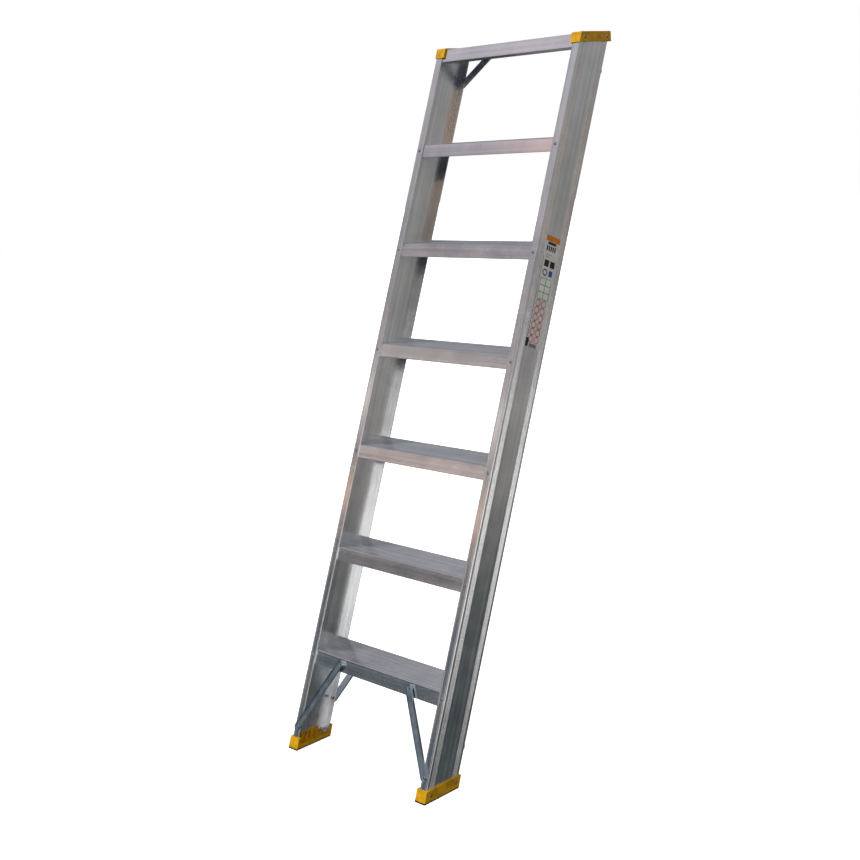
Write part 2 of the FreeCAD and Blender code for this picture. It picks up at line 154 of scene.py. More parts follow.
# %% How bright each side of the room is, as (height in degrees, colour)
ROOM_BACK = [
    (-60, (.14, .15, .155)), (-35, (.10, .115, .12)), (-26, (.05, .062, .07)),
    (-22, (.042, .056, .062)), (-19.5, (.05, .062, .066)), (-17, (.13, .135, .13)),
    (-15, (.27, .26, .24)), (-12, (.33, .30, .29)), (-7, (.30, .30, .29)),
    (-4.5, (.24, .25, .235)), (-2, (.34, .32, .30)), (2, (.35, .345, .345)),
    (12, (.33, .34, .355)), (24, (.34, .35, .365)), (50, (.45, .45, .46)), (80, (.5, .5, .5))]
ROOM_LEFT = [
    (-60, (.10, .10, .11)), (-20, (.10, .10, .11)), (-10, (.08, .09, .10)),
    (0, (.04, .05, .065)), (2.5, (.09, .10, .115)), (5, (.21, .215, .23)),
    (12, (.26, .27, .29)), (24, (.33, .34, .355)), (60, (.45, .45, .46))]
ROOM_RIGHT = [
    (-60, (.16, .22, .24)), (-15, (.15, .21, .23)), (4, (.24, .23, .23)),
    (6.5, (.56, .54, .53)), (9, (1.3, 1.28, 1.26)), (12, (2.9, 2.85, 2.8)),
    (15, (2.8, 2.7, 2.6)), (18, (.40, .38, .37)), (21, (.13, .12, .12)),
    (24, (.10, .09, .09)), (28, (.34, .24, .17)), (33, (.15, .11, .08)), (45, (.3, .3, .31))]
ROOM_FRONT = [
    (-60, (.34, .34, .35)), (-12, (.30, .30, .31)), (0, (.18, .19, .21)),
    (5.5, (.075, .11, .135)), (8.2, (.05, .08, .10)), (10.4, (.12, .16, .22)),
    (12.4, (.09, .12, .14)), (14, (.18, .18, .19)), (15.2, (.38, .33, .34)),
    (17, (.27, .25, .25)), (18.2, (.38, .34, .34)), (19, (.60, .52, .50)),
    (19.8, (.42, .38, .37)), (21, (.36, .33, .32)), (25, (.33, .30, .32)),
    (29, (.52, .47, .51)), (34, (.60, .60, .66))]
print("white panel, brightest", max(colour[0] for height, colour in ROOM_RIGHT))

# %% Blend the sides into one room
world = bpy.data.worlds.new("studio")
bpy.context.scene.world = world
world.use_nodes = True
sky = world.node_tree
sky.nodes.clear()
direction = node(sky, "ShaderNodeTexCoord").outputs["Generated"]
height = node(sky, "ShaderNodeSeparateXYZ", {0: direction}).outputs["Z"]
height01 = node(sky, "ShaderNodeMapRange", {0: height, 1: -1.0, 2: 1.0}).outputs[0]


def by_height(table):
    """The colour of one side of the room, as a ramp over height."""
    return node(sky, "ShaderNodeValToRGB", {0: height01}, stops=height_stops(table)).outputs[0]


def near(heading, height, inner, outer):
    """1 within inner degrees of a direction, falling softly to 0 at outer degrees."""
    facing = node(sky, "ShaderNodeVectorMath", {0: direction, 1: toward(heading, height)},
                  operation="DOT_PRODUCT").outputs["Value"]
    return node(sky, "ShaderNodeMapRange", {0: facing, 1: math.cos(math.radians(outer)),
                2: math.cos(math.radians(inner))}, interpolation_type="SMOOTHSTEP").outputs[0]


def laid_over(under, over, share, blend="MIX"):
    """One colour laid over another, or added to it, by a share."""
    return node(sky, "ShaderNodeMix", {0: share, 6: under, 7: over},
                data_type="RGBA", blend_type=blend).outputs[2]


FRONT_LEFT = (-132, 12, 38, 66)
shade = by_height(ROOM_BACK)
for table, where in ((ROOM_LEFT, (-50, 8, 38, 70)), (ROOM_RIGHT, (131, 12, 13, 32)),
                     (ROOM_FRONT, FRONT_LEFT)):
    shade = laid_over(shade, by_height(table), near(*where))
for where, colour in (
        ((-129.5, 31.6, .6, 1.8), (.9, .35, .15)),     # a warm lamp, high in the front left
        ((127, 29.3, 1.0, 4.5), (1.6, .9, .35)),       # and one in the front right
        ((150, 62, 10, 34), (.22, .22, .22)),          # a soft glow overhead
):
    shade = laid_over(shade, (*colour, 1), near(*where), "ADD")
print("the room blends", len(sky.nodes), "nodes")

# %% [markdown]
# Small lamps far off show as short bright spots on the stiles. Every face of a stile keeps the
# part of a direction that runs along the stile when it mirrors it, so each lamp is drawn as a
# narrow band of that one measure. It then shows at one place along every face.

# %% Hang the small lamps and close the room
FIRST, LAST = -.2, .3     # the range of the measure that the ramp covers
LAMPS = (                 # (place in that range, half width, colour)
    (-.142, .006, (.6, .36, .16)),
    (-.0025, .006, (3.6, 2.2, 1.3)),
    (.068, .009, (2.5, 2.2, 2.0)))
beside = node(sky, "ShaderNodeVectorMath", {0: direction, 1: (0, SIN, COS)},
              operation="DOT_PRODUCT").outputs["Value"]
beside01 = node(sky, "ShaderNodeMapRange", {0: beside, 1: FIRST, 2: LAST}).outputs[0]
bands = [((at + off - FIRST) / (LAST - FIRST), (*(c if off == 0 else 0 for c in colour), 1))
         for at, half, colour in LAMPS for off in (-half, 0, half)]
glints = node(sky, "ShaderNodeValToRGB", {0: beside01}, stops=bands).outputs[0]
shade = laid_over(shade, glints, near(*FRONT_LEFT), "ADD")
seen = node(sky, "ShaderNodeLightPath").outputs["Is Camera Ray"]
room = node(sky, "ShaderNodeBackground", {0: shade, 1: 1.0}).outputs[0]
plain = node(sky, "ShaderNodeBackground", {0: (1, 1, 1, 1), 1: 1.0}).outputs[0]
both = node(sky, "ShaderNodeMixShader", {0: seen, 1: room, 2: plain}).outputs[0]
node(sky, "ShaderNodeOutputWorld", {0: both})
bpy.context.scene.view_settings.view_transform = "Standard"
print("the studio's world has", len(sky.nodes), "nodes")

# %% Two soft lamps and the floor
for name, aim, spread, strength in (("key_light", (-.50, -.62, .60), 50, 2.5),
                                    ("top_light", (.1, .1, 1), 40, .7)):
    lamp_data = bpy.data.lights.new(name, "SUN")
    lamp_data.angle, lamp_data.energy = math.radians(spread), strength
    lamp = bpy.data.objects.new(name, lamp_data)
    bpy.context.scene.collection.objects.link(lamp)
    lamp.rotation_euler = Vector(aim).to_track_quat("Z", "Y").to_euler()
    lamp.visible_glossy = False
bpy.ops.mesh.primitive_plane_add(size=40)
floor = bpy.context.object
floor.name = "floor"
floor.visible_glossy = floor.visible_diffuse = False
paint = bpy.data.materials.new("pale_floor_paint")
paint.use_nodes = True
paint.node_tree.nodes.clear()
white = node(paint.node_tree, "ShaderNodeBsdfDiffuse", {0: srgb("fafafa")})
glow = node(paint.node_tree, "ShaderNodeEmission", {0: (1, 1, 1, 1), 1: .75})
pale = node(paint.node_tree, "ShaderNodeAddShader", {0: white.outputs[0], 1: glow.outputs[0]})
node(paint.node_tree, "ShaderNodeOutputMaterial", {0: pale.outputs[0]})
floor.data.materials.append(paint)
print("floor laid, lamps hung")

# %% [markdown]
# The stiles and treads are extruded aluminium in its mill finish. The die leaves fine lines
# and soft streaks along the length of the extrusion, and the surface between them is nearly
# a mirror. The lines blur what it mirrors sideways, across them, and leave it sharp along
# them. That is what an anisotropic shader does, so its tangent is set across the lines: the
# surface's normal crossed with the direction in which the die pulled the metal. Long noise
# varies the roughness and raises the lines. Mapping nodes of the Texture kind turn the
# pattern first and then stretch it, so that it follows each extrusion.

# %% Mill-finish aluminium
NOISE_LOW, NOISE_HIGH = .35, .65     # nearly all of a noise texture's values lie between these
BUMP_DISTANCE = .2 * MM


def metal(name, colour, rough, turn, fine, broad, bump, drawn=None, sideways=0.0):
    """Metal with lines stretched along one direction: fine and broad are sizes in metres."""
    made = bpy.data.materials.new(name)
    made.use_nodes = True
    tree = made.node_tree
    tree.nodes.clear()
    place = node(tree, "ShaderNodeTexCoord").outputs["Object"]
    lines = node(tree, "ShaderNodeMapping", {0: place, 2: turn, 3: fine}, vector_type="TEXTURE")
    streaks = node(tree, "ShaderNodeMapping", {0: place, 2: turn, 3: broad}, vector_type="TEXTURE")
    line = node(tree, "ShaderNodeTexNoise",
                {0: lines.outputs[0], "Scale": 1.0, "Detail": 3.0}).outputs[0]
    streak = node(tree, "ShaderNodeTexNoise",
                  {0: streaks.outputs[0], "Scale": 1.0, "Detail": 4.0}).outputs[0]
    cloud = node(tree, "ShaderNodeTexNoise",
                 {0: place, "Scale": 9.0, "Detail": 5.0, "Roughness": .6}).outputs[0]
    both = node(tree, "ShaderNodeMix", {0: .5, 2: streak, 3: cloud}).outputs[0]
    roughness = node(tree, "ShaderNodeMapRange", {0: both, 1: NOISE_LOW, 2: NOISE_HIGH,
                                                  3: rough[0], 4: rough[1]}).outputs[0]
    shade = node(tree, "ShaderNodeValToRGB", {0: both},
                 stops=[(.34, colour[0]), (.62, colour[1])]).outputs[0]
    mix = node(tree, "ShaderNodeMix", {0: .35, 2: line, 3: streak}).outputs[0]
    raised = node(tree, "ShaderNodeBump",
                  {"Height": mix, "Strength": bump, "Distance": BUMP_DISTANCE}).outputs[0]
    surface = node(tree, "ShaderNodeBsdfPrincipled",
                   {"Base Color": shade, "Metallic": 1.0, "Roughness": roughness, "Normal": raised})
    if drawn:
        facing = node(tree, "ShaderNodeNewGeometry").outputs["Normal"]
        across = node(tree, "ShaderNodeVectorMath", {0: facing, 1: drawn},
                      operation="CROSS_PRODUCT").outputs[0]
        tree.links.new(across, surface.inputs["Tangent"])
        surface.inputs["Anisotropic"].default_value = sideways
    node(tree, "ShaderNodeOutputMaterial", {0: surface.outputs[0]})
    return made


STILE_TURN, NO_TURN = Vector((-LEAN, 0, 0)), Vector((0, 0, 0))
MILL_COLOURS = (srgb("c8cacd"), srgb("eaebed"))
stile_metal = metal("mill_finish_aluminium_stile", MILL_COLOURS, (.18, .26), STILE_TURN,
                    (.0015, .0015, .25), (.011, .011, .9), .12, drawn=(0, SIN, COS), sideways=.95)
tread_metal = metal("mill_finish_aluminium_tread", MILL_COLOURS, (.11, .18), NO_TURN,
                    (.25, .0015, .0015), (.7, .011, .011), .12, drawn=(1, 0, 0), sideways=.6)
zinc = metal("zinc_plated_steel", (srgb("9fb0bd"), srgb("cdd9e2")), (.28, .42), NO_TURN,
             (.003, .003, .003), (.02, .02, .02), .1)
RIVET_GRAIN, RIVET_STAINS = (.002, .002, .002), (.008, .008, .008)
rivet_aluminium = metal("bright_rivet_aluminium", (srgb("93a0ad"), srgb("c2ccd5")), (.05, .1),
                        NO_TURN, RIVET_GRAIN, RIVET_STAINS, .1)
rivet_steel = metal("zinc_plated_rivet_steel", (srgb("808c98"), srgb("adb8c1")), (.1, .16),
                    NO_TURN, RIVET_GRAIN, RIVET_STAINS, .1)
print("metals made")

# %% [markdown]
# Feet and caps are injection-moulded polypropylene, coloured through, which gives a soft
# sheen. The soles are dull black rubber, and the label is a printed plastic film. All of them
# have a fine grain and are a little uneven in colour and gloss, from wear.

# %% Moulded yellow plastic and black rubber
def moulded(name, colours, rough, grain, bump):
    """Moulded plastic or rubber with a fine grain, in metres, and worn, uneven colour."""
    made = bpy.data.materials.new(name)
    made.use_nodes = True
    tree = made.node_tree
    tree.nodes.clear()
    place = node(tree, "ShaderNodeTexCoord").outputs["Object"]
    cloud = node(tree, "ShaderNodeTexNoise",
                 {0: place, "Scale": 45.0, "Detail": 6.0, "Roughness": .62}).outputs[0]
    pit = node(tree, "ShaderNodeTexNoise",
               {0: place, "Scale": 1 / grain, "Detail": 2.0}).outputs[0]
    shade = node(tree, "ShaderNodeValToRGB", {0: cloud},
                 stops=[(.36, colours[0]), (.6, colours[1])]).outputs[0]
    roughness = node(tree, "ShaderNodeMapRange", {0: cloud, 1: NOISE_LOW, 2: NOISE_HIGH,
                                                  3: rough[0], 4: rough[1]}).outputs[0]
    raised = node(tree, "ShaderNodeBump",
                  {"Height": pit, "Strength": bump, "Distance": BUMP_DISTANCE}).outputs[0]
    surface = node(tree, "ShaderNodeBsdfPrincipled",
                   {"Base Color": shade, "Roughness": roughness, "IOR": 1.49,
                    "Specular IOR Level": .3, "Normal": raised})
    node(tree, "ShaderNodeOutputMaterial", {0: surface.outputs[0]})
    return made


yellow = moulded("moulded_yellow_polypropylene", (srgb("b28204"), srgb("d8a106")), (.38, .55),
                 .8 * MM, .25)
rubber = moulded("black_rubber", (srgb("0e0e0e"), srgb("1b1a19")), (.6, .8), MM, .3)
film = moulded("printed_label_film", (srgb("d8d4cc"), srgb("e8e5df")), (.2, .3), 2 * MM, .05)
print("plastics, rubber and film made")

# %% [markdown]
# Most pieces here are lengths of one section, or blocks joined and rounded. A section is
# drawn as by hand: one vertex is pulled from corner to corner, the loop is closed and filled,
# and the face is extruded. A few small tools do what the mouse would do: select by place,
# join, cut, round the edges and hand the piece over.

# %% Tools for picking, cutting and joining
def only(obj):
    """Selects one object and nothing else, and makes it active."""
    bpy.ops.object.select_all(action="DESELECT")
    obj.select_set(True)
    bpy.context.view_layer.objects.active = obj


def pick(kind, test):
    """In edit mode, selects only the faces, edges or verts that pass a test."""
    bpy.ops.mesh.select_mode(type=kind[:-1].upper())
    bpy.ops.mesh.select_all(action="DESELECT")
    shape = bmesh.from_edit_mesh(bpy.context.object.data)
    for part in getattr(shape, kind):
        if test(part):
            part.select_set(True)
    shape.select_flush_mode()
    bmesh.update_edit_mesh(bpy.context.object.data)


def rounded(corners, steps=5):
    """Points round a closed outline of (u, v, radius) corners, each rounded by its radius."""
    points = []
    for at, (u, v, radius) in enumerate(corners):
        here = Vector((u, v))
        if radius == 0:
            points.append(here)
            continue
        before = (Vector(corners[at - 1][:2]) - here).normalized()
        after = (Vector(corners[(at + 1) % len(corners)][:2]) - here).normalized()
        half = before.angle(after) / 2
        centre = here + (before + after).normalized() * (radius / math.sin(half))
        start, end = (here + way * (radius / math.tan(half)) - centre for way in (before, after))
        turn = start.angle_signed(end)
        for step in range(steps + 1):
            points.append(centre + Matrix.Rotation(-turn * step / steps, 2) @ start)
    return points


def pull_line(places):
    """Merges a new plane into one vertex, pulls it from place to place, stays in edit mode."""
    bpy.ops.object.select_all(action="DESELECT")
    bpy.ops.mesh.primitive_plane_add(size=MM)
    bpy.ops.object.mode_set(mode="EDIT")
    bpy.ops.mesh.select_mode(type="VERT")
    bpy.ops.mesh.select_all(action="SELECT")
    bpy.ops.mesh.merge(type="CENTER")
    bpy.ops.transform.translate(value=places[0])
    for before, after in zip(places, places[1:]):
        bpy.ops.mesh.extrude_vertices_move(TRANSFORM_OT_translate={"value": after - before})
    bpy.ops.mesh.select_all(action="SELECT")
    return bpy.context.object


def extrusion(name, points, length):
    """Pulls a vertex round an outline in the XY plane, fills it and extrudes it along +Z."""
    places = [Vector((*p, 0)) for p in points]
    obj = pull_line(places + places[:1])
    obj.name = name
    bpy.ops.mesh.remove_doubles(threshold=1e-6)
    bpy.ops.mesh.edge_face_add()
    bpy.ops.mesh.extrude_region_move(TRANSFORM_OT_translate={"value": (0, 0, length)})
    bpy.ops.mesh.select_all(action="SELECT")
    bpy.ops.mesh.normals_make_consistent(inside=False)
    bpy.ops.object.mode_set(mode="OBJECT")
    return obj


def settle(obj, matrix):
    """Moves an object, and leaves its place in its mesh."""
    only(obj)
    obj.matrix_world = matrix @ obj.matrix_world
    bpy.ops.object.transform_apply(location=True, rotation=True, scale=True)
    return obj


def cut_level(obj, z, clear_above):
    """Saws an object level at height z, and closes the cut."""
    only(obj)
    bpy.ops.object.mode_set(mode="EDIT")
    bpy.ops.mesh.select_all(action="SELECT")
    bpy.ops.mesh.bisect(plane_co=(0, 0, z), plane_no=(0, 0, 1), use_fill=True,
                        clear_outer=clear_above, clear_inner=not clear_above)
    bpy.ops.object.mode_set(mode="OBJECT")


def change(obj, kind, **settings):
    """Adds a modifier with its settings and applies it."""
    only(obj)
    modifier = obj.modifiers.new(kind.lower(), kind)
    for name, value in settings.items():
        setattr(modifier, name, value)
    bpy.ops.object.modifier_apply(modifier=modifier.name)
    return obj


def combine(obj, other, operation):
    """Joins or cuts an object with another one, which is used up."""
    change(obj, "BOOLEAN", operation=operation, object=other, solver="EXACT")
    bpy.data.objects.remove(other)
    return obj


def copied(obj, name, matrix=None):
    """A copy with its own mesh, moved by a matrix. A mirrored copy has its faces turned back."""
    twin = obj.copy()
    twin.data = obj.data.copy()
    twin.name = name
    bpy.context.scene.collection.objects.link(twin)
    if matrix is not None:
        settle(twin, matrix)
        if matrix.determinant() < 0:
            bpy.ops.object.mode_set(mode="EDIT")
            bpy.ops.mesh.select_all(action="SELECT")
            bpy.ops.mesh.normals_make_consistent(inside=False)
            bpy.ops.object.mode_set(mode="OBJECT")
    return twin


def soften(obj, width, limit=30):
    """Tidies flat faces and rounds the edges that are sharper than limit degrees."""
    only(obj)
    bpy.ops.object.mode_set(mode="EDIT")
    bpy.ops.mesh.select_all(action="SELECT")
    bpy.ops.mesh.remove_doubles(threshold=1e-5)
    bpy.ops.mesh.dissolve_limited(angle_limit=math.radians(.5))
    bpy.ops.object.mode_set(mode="OBJECT")
    return change(obj, "BEVEL", width=width, segments=2, limit_method="ANGLE",
                  angle_limit=math.radians(limit), use_clamp_overlap=True)


MIRROR = Matrix.Scale(-1, 4, (1, 0, 0))


def hand_over(obj, name, material, stands_for):
    """Smooths a finished piece, dresses it and lets it stand for its CAD nodes."""
    only(obj)
    bpy.ops.object.shade_smooth_by_angle(angle=math.radians(32))
    change(obj, "WEIGHTED_NORMAL", keep_sharp=True, weight=80)
    obj.name = obj.data.name = name
    obj.data.materials.clear()
    obj.data.materials.append(material)
    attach(obj, "root")
    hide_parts(*stands_for)
    faces = sum(len(p.vertices) - 2 for p in obj.data.polygons)
    print(name, faces, "triangles")


# %% [markdown]
# ## Stiles
# Each stile is an aluminium channel, extruded: a web 2.4 mm thick, two flanges, and two
# reeded bands along the outside of the web. The reeds are small round ribs 2.25 mm apart.
# They matter to the eye, because their round backs catch light from far to the side, so the
# bands look brighter than the flat metal between them. The flanges have finer reeds near
# their edges. The section is drawn once with every reed in it, extruded, leaned and sawn
# level at both ends, as the real channel is.

# %% Draw the stile's section
WEB, FLANGE, WIDE = 2.4 * MM, 3.0 * MM, 25.0 * MM
TIP = SIDE - WIDE
REEDS, REED_PITCH, REED_SINK = 8, 2.25 * MM, .65 * MM
FINE_REEDS, FINE_PITCH, FINE_SINK = 3, 1.5 * MM, .3 * MM
OUTER_RADIUS, TIP_RADIUS, INNER_RADIUS = 3 * MM, 1.2 * MM, .8 * MM


def reeds(start, count, pitch, sink, steps=6):
    """Round reeds along a face: (distance along the face, how far below it) points."""
    radius = (pitch ** 2 / 4 + sink ** 2) / (2 * sink)
    points = [(start, 0)]
    for reed in range(count):
        for step in range(steps):
            off = (step / steps - .5) * pitch
            points.append((start + (reed + step / steps) * pitch,
                           radius - math.sqrt(radius ** 2 - off ** 2)))
    points += [(start + count * pitch, sink), (start + count * pitch + .02 * MM, 0)]
    return points


def flange_face(depth, inward):
    """The reeds near both edges of a flange's outer face, from its tip outwards."""
    fine = [point for start in (TIP + 1.4 * MM, SIDE - 7.7 * MM)
            for point in reeds(start, FINE_REEDS, FINE_PITCH, FINE_SINK, 4)]
    return [(x, depth + inward * sink, 0) for x, sink in fine]


section = [(TIP, 0, TIP_RADIUS)] + flange_face(0, 1) + [(SIDE, 0, OUTER_RADIUS)]
for band in (8 * MM, 86 * MM):
    section += [(SIDE - sink, depth, 0)
                for depth, sink in reeds(band, REEDS, REED_PITCH, REED_SINK)]
section += [(SIDE, DEPTH, OUTER_RADIUS)] + flange_face(DEPTH, -1)[::-1]
section += [(TIP, DEPTH, TIP_RADIUS), (TIP, DEPTH - FLANGE, TIP_RADIUS),
            (SIDE - WEB, DEPTH - FLANGE, INNER_RADIUS), (SIDE - WEB, FLANGE, INNER_RADIUS),
            (TIP, FLANGE, TIP_RADIUS)]
print("the section has", len(rounded(section)), "points")

# %% Extrude, lean and saw the stiles
STOCK, SPARE = 2.4, .15     # length extruded, and how much of it is below the floor, in metres
stile = extrusion("stile", rounded(section), STOCK)
settle(stile, LEAN_BACK @ Matrix.Translation((0, 0, -SPARE)))
cut_level(stile, stile_low.z, clear_above=False)
cut_level(stile, stile_high.z, clear_above=True)
stile_twin = copied(stile, "left", MIRROR)
hand_over(stile, "channel_right", stile_metal, ["stile_right"])
hand_over(stile_twin, "channel_left", stile_metal, ["stile_left"])

# %% [markdown]
# ## Treads
# A tread is a wide channel too, folded down at the front and the back so that its skirts
# follow the lean, with small lips turned in underneath. Its top has fine grip lines along
# its length. One is extruded between the webs and copied up the ladder.

# %% Extrude one tread and copy it to each height
top1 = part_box("tread_1")[1][2]
SKIRT, WALL, LIP = 36 * MM, 2.2 * MM, 8 * MM
LINE_PITCH, LINE_WIDE, PLAIN_EDGES = 6 * MM, 1.5 * MM, 18 * MM
GRIP_LINE = ((0, 0), (.2, .3), (.5, .5), (1, .5), (1.3, .3), (1.5, 0))     # (across, down) in mm


def tread_section():
    """Corners of the tread's section, as (y, z, radius)."""
    low, under = top1 - SKIRT, top1 - WALL
    front, rear = level_y(top1, FLANGE), level_y(top1, DEPTH - FLANGE)
    corners = [(level_y(low, FLANGE), low, 1 * MM), (front, top1, 2.5 * MM)]
    count = int((rear - front - PLAIN_EDGES) / LINE_PITCH) + 1
    first = (front + rear - (count - 1) * LINE_PITCH - LINE_WIDE) / 2
    for line in range(count):
        start = first + line * LINE_PITCH
        corners += [(start + u * MM, top1 - sink * MM, 0) for u, sink in GRIP_LINE]
    for depth, z, radius in ((DEPTH - FLANGE, top1, 2.5), (DEPTH - FLANGE, low, 1)):
        corners.append((level_y(z, depth), z, radius * MM))
    corners += [(level_y(low, DEPTH - FLANGE) - LIP, low, .6 * MM),
                (level_y(low + WALL, DEPTH - FLANGE) - LIP, low + WALL, .6 * MM)]
    for z, depth in ((low + WALL, DEPTH - FLANGE - WALL), (under, DEPTH - FLANGE - WALL),
                     (under, FLANGE + WALL), (low + WALL, FLANGE + WALL)):
        corners.append((level_y(z, depth), z, .9 * MM))
    corners += [(level_y(low + WALL, FLANGE) + LIP, low + WALL, .6 * MM),
                (level_y(low, FLANGE) + LIP, low, .6 * MM)]
    return corners


Z_TO_X = Matrix(((0, 0, 1, 0), (1, 0, 0, 0), (0, 1, 0, 0), (0, 0, 0, 1)))
tread = extrusion("tread", rounded(tread_section()), 2 * (SIDE - WEB))
settle(tread, Matrix.Translation((WEB - SIDE, 0, 0)) @ Z_TO_X)
for n in range(1, 8):
    shift = Vector(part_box(f"tread_{n}")[1]) - Vector(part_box("tread_1")[1])
    step = copied(tread, "step", Matrix.Translation((0, shift.y, shift.z)))
    hand_over(step, f"step_{n}", tread_metal, [f"tread_{n}"])
bpy.data.objects.remove(tread)

# %% [markdown]
# ## Braces
# The braces are pressed from 1.6 mm steel strip and zinc plated: shallow trays with round
# ends, open away from the ladder, and cupped at the upper end to reach the tread. A circle
# has one half pulled away to make the outline, which is extruded, inset and sunk to leave a
# wall all round. Each brace's ends are worked out from its CAD part's box.

# %% Press the braces
TRAY, STEEL, DEEP = 10 * MM, 1.6 * MM, 7 * MM
ROUND = 40     # sides of a circle


def brace_ends(node_name, rear):
    """Lower and upper end centres of a right-hand brace, in the upright frame."""
    low, high = (Vector(c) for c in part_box(node_name))
    face = DEPTH if rear else 0
    lowest, highest = (DEPTH + DEEP, DEPTH - FLANGE) if rear else (0, -DEEP)
    foot = Vector((high.x - TRAY, face, (low.z + lowest * SIN) / COS + TRAY))
    head = Vector((low.x + TRAY, face, (high.z + highest * SIN) / COS - TRAY))
    return foot, head


def press_brace(foot, head, out):
    """Tray from foot to head, open outwards, with its cup at the head."""
    length = (head - foot).length
    bpy.ops.object.select_all(action="DESELECT")
    bpy.ops.mesh.primitive_circle_add(vertices=ROUND, radius=TRAY, fill_type="NGON",
                                      rotation=(0, 0, math.pi / ROUND))
    tray = bpy.context.object
    settle(tray, Matrix.Identity(4))
    bpy.ops.object.mode_set(mode="EDIT")
    pick("verts", lambda v: v.co.x > 0)
    bpy.ops.transform.translate(value=(length, 0, 0))
    pick("faces", lambda f: True)
    bpy.ops.mesh.extrude_region_move(TRANSFORM_OT_translate={"value": (0, 0, DEEP)})
    bpy.ops.mesh.inset(thickness=STEEL)
    bpy.ops.transform.translate(value=(0, 0, STEEL - DEEP))
    pick("faces", lambda f: True)
    bpy.ops.mesh.normals_make_consistent(inside=False)
    bpy.ops.object.mode_set(mode="OBJECT")
    for radius, low, high, operation in ((TRAY, -FLANGE, .5 * MM, "UNION"),
                                         (TRAY - STEEL, STEEL - FLANGE, 3 * MM, "DIFFERENCE")):
        bpy.ops.object.select_all(action="DESELECT")
        bpy.ops.mesh.primitive_cylinder_add(vertices=ROUND, radius=radius, depth=high - low,
                                            location=(length, 0, (high + low) / 2),
                                            rotation=(0, 0, math.pi / ROUND))
        combine(tray, bpy.context.object, operation)
    soften(tray, .5 * MM, 50)
    along_x = (head - foot).normalized()
    turn = Matrix((along_x, out.cross(along_x), out)).transposed().to_4x4()
    return settle(tray, LEAN_BACK @ Matrix.Translation(foot) @ turn)


ends = {}
for kind, rear in (("front", False), ("rear", True), ("top", True)):
    out = Vector((0, 1 if rear else -1, 0))
    ends[kind] = (*brace_ends(f"{kind}_brace_right", rear), out)
    tray = press_brace(*ends[kind])
    twin = copied(tray, "left", MIRROR)
    hand_over(tray, f"{kind}_strut_right", zinc, [f"{kind}_brace_right"])
    hand_over(twin, f"{kind}_strut_left", zinc, [f"{kind}_brace_left"])

# %% [markdown]
# ## Rivets
# Blind rivets hold everything together. Each has a low domed head with the broken end of its
# mandrel sunk in the middle, a shank and a swollen tail behind. Half its section is drawn
# and spun once round, and the rivet is then copied to every place.

# %% Spin a rivet
HOLE, SHANK, TAIL, DOME_STEPS = 1.3 * MM, 2.5 * MM, 4 * MM, 6


def spin_rivet(head, high, grip):
    """Blind rivet along +Z, with its head's seat at z = 0, as one closed turned shape."""
    dome = (head ** 2 / 4 + high ** 2) / (2 * high)
    profile = [(0, high - .9 * MM), (HOLE - .3 * MM, high - .8 * MM), (HOLE, high - .05 * MM)]
    for step in range(1, DOME_STEPS + 1):
        r = HOLE + (head / 2 - .05 * MM - HOLE) * step / DOME_STEPS
        profile.append((r, high - dome + math.sqrt(dome ** 2 - r ** 2)))
    profile += [(head / 2, 0), (SHANK, 0), (SHANK, -grip), (TAIL, -grip - .3 * MM),
                (TAIL, -grip - 3 * MM), (2.6 * MM, -grip - 4 * MM), (0, -grip - 4 * MM)]
    rivet = pull_line([Vector((r, 0, z)) for r, z in profile])
    bpy.ops.mesh.spin(steps=20, angle=2 * math.pi, center=(0, 0, 0), axis=(0, 0, 1))
    bpy.ops.mesh.select_all(action="SELECT")
    bpy.ops.mesh.remove_doubles(threshold=1e-5)
    bpy.ops.mesh.normals_make_consistent(inside=False)
    bpy.ops.object.mode_set(mode="OBJECT")
    return rivet


def stand(point, out):
    """Matrix that stands a +Z shape on a point so that it points outwards."""
    return Matrix.Translation(point) @ out.to_track_quat("Z", "Y").to_matrix().to_4x4()


def gathered(pieces):
    """Joins pieces into the first one."""
    bpy.ops.object.select_all(action="DESELECT")
    for piece in pieces:
        piece.select_set(True)
    bpy.context.view_layer.objects.active = pieces[0]
    bpy.ops.object.join()
    return pieces[0]


def rivet_row(name, kind, places, material, node_name):
    """Copies rivets to their places, and joins a row into one piece for each side."""
    for side, flip in (("right", Matrix.Identity(4)), ("left", MIRROR)):
        row = gathered([copied(kind, "rivet", flip @ place) for place in places])
        hand_over(row, f"{name}_{side}", material, [f"{node_name}_{side}"])


# %% Set the rivets
FORWARDS, BACKWARDS, OUTWARDS = Vector((0, -1, 0)), Vector((0, 1, 0)), Vector((1, 0, 0))
UNDER_CAP = 2.5 * MM     # how far the top tread's front rivets are sunk to lie under the caps
FOOT_RIVET_Z, CAP_RIVET_Z = 17 * MM, 1931 * MM
flange_rivet = spin_rivet(11 * MM, 2.5 * MM, FLANGE + WALL)
small_rivet = spin_rivet(9 * MM, 2 * MM, 6 * MM)
in_x = SIDE - WIDE / 2
front_places, rear_places = [], []
for n, top in enumerate(tops, 1):
    front_z, rear_z = along(top - 15 * MM, 0), along(top - 20 * MM, DEPTH)
    sunk = UNDER_CAP if n == len(tops) else 0
    front_places.append(LEAN_BACK @ stand(Vector((in_x, sunk, front_z)), FORWARDS))
    rear_places.append(LEAN_BACK @ stand(Vector((in_x, DEPTH, rear_z)), BACKWARDS))
brace_places = []
for foot, head, out in ends.values():
    brace_places.append(LEAN_BACK @ stand(foot + out * STEEL, out))
    brace_places.append(LEAN_BACK @ stand(head - out * (FLANGE - STEEL), out))
foot_high, cap_high = Vector(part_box("foot_right")[1]), Vector(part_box("top_cap_right")[1])
foot_places = [stand(Vector((foot_high.x - 2.5 * MM, level_y(FOOT_RIVET_Z, depth), FOOT_RIVET_Z)),
                     OUTWARDS) for depth in (16 * MM, 102 * MM)]
